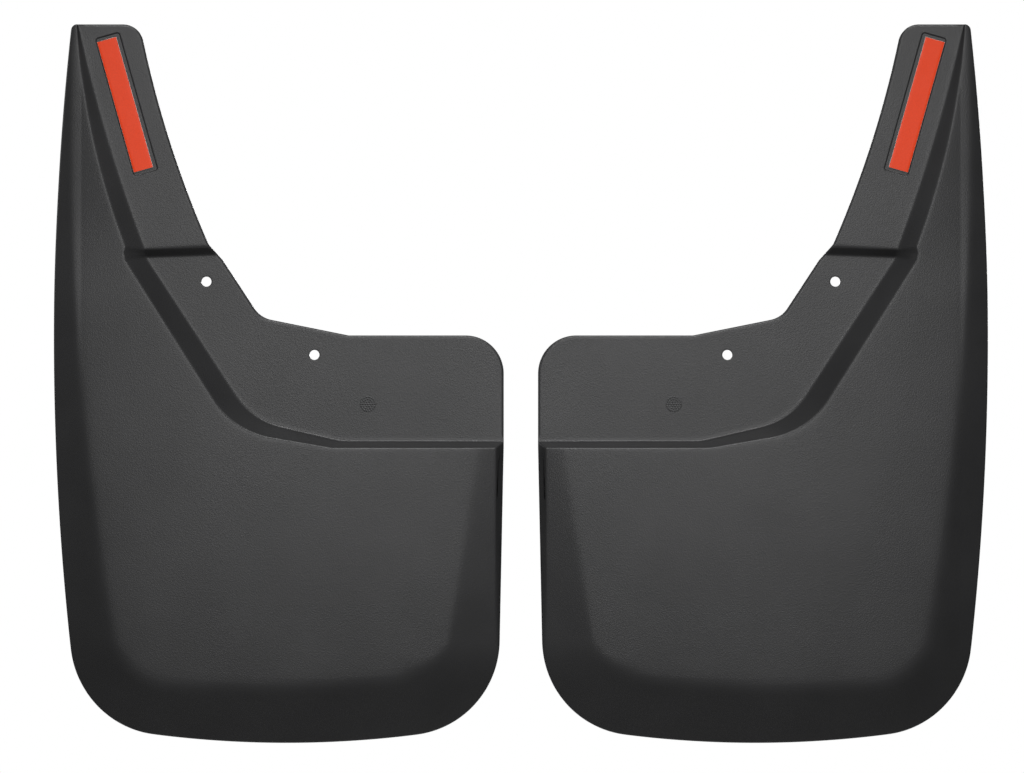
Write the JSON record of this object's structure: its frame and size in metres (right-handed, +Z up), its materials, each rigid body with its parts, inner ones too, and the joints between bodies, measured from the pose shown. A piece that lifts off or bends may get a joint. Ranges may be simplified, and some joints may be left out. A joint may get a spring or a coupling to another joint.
{
  "type": "mud flap",
  "caption": "Pair of moulded mud guards for a pickup truck's wheel arches, with raised bevelled panel, stepped fixing flange, bolt holes and lined foam tape on the arm",
  "frame": {"origin": "midway between the two bolt holes of the left guard, on the face of its fixing flange that meets the truck", "axes": "+X runs across the truck from the left guard to the right guard, +Y points forward, away from a viewer behind the truck, and +Z is up as fitted; the pair's mirror plane is X = 0.205 m"},
  "size_m": [0.7342, 0.0395, 0.566],
  "materials": {
    "guard_plastic": "fine moulded grain, matte black",
    "tape_foam": "closed-cell acrylic foam, pale grey",
    "tape_liner": "thin red-orange polyethylene release film"
  },
  "bodies": {
    "left_guard_body": {"left_guard": "guard_plastic", "left_foam": "tape_foam"},
    "left_liner_body": {"left_liner": "tape_liner"},
    "right_guard_body": {"right_guard": "guard_plastic", "right_foam": "tape_foam"},
    "right_liner_body": {"right_liner": "tape_liner"}
  },
  "joints": [
    {"name": "left_liner_peel", "type": "slide", "parent": "left_guard_body", "child": "left_liner_body", "axis": [0, -1, 0], "range_m": [0, 0.06]},
    {"name": "right_guard_lift", "type": "slide", "parent": "left_guard_body", "child": "right_guard_body", "axis": [0, 1, 0], "range_m": [0, 0.15]},
    {"name": "right_liner_peel", "type": "slide", "parent": "right_guard_body", "child": "right_liner_body", "axis": [0, -1, 0], "range_m": [0, 0.06]}
  ]
}
